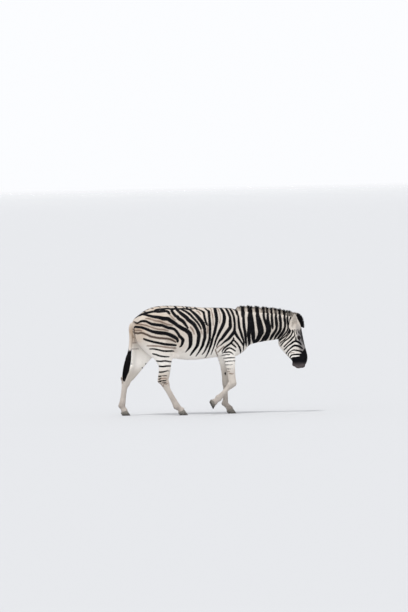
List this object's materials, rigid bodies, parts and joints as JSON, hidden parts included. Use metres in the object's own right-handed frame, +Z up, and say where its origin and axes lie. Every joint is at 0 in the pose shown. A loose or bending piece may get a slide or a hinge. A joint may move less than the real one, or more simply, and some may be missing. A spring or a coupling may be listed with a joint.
{
  "type": "zebra",
  "caption": "Life-size still model of a plains zebra walking with its head low, one forefoot lifted.",
  "frame": {"origin": "on the floor under the middle of the bounding box", "axes": "+X toward the nose, +Y toward the animal's left side, +Z up"},
  "size_m": [2.3453, 0.5375, 1.3481],
  "materials": {
    "striped_coat": "short black, brown and cream hair over skin",
    "mane_hair": "coarse upright black and white hair",
    "eye": "moist near-black eye",
    "hoof_horn": "dull dark horn"
  },
  "bodies": {
    "root": {"trunk": "striped_coat", "neck": "striped_coat", "head": "striped_coat", "ear_left": "striped_coat", "ear_right": "striped_coat", "tail": "striped_coat", "fore_left_upper": "striped_coat", "fore_left_lower": "striped_coat", "fore_right_upper": "striped_coat", "fore_right_lower": "striped_coat", "hind_left_upper": "striped_coat", "hind_left_lower": "striped_coat", "hind_right_upper": "striped_coat", "hind_right_lower": "striped_coat", "mane": "mane_hair", "forelock": "mane_hair", "tail_tuft": "mane_hair", "eye_left": "eye", "eye_right": "eye", "fore_left_hoof": "hoof_horn", "fore_right_hoof": "hoof_horn", "hind_left_hoof": "hoof_horn", "hind_right_hoof": "hoof_horn"}
  },
  "joints": []
}
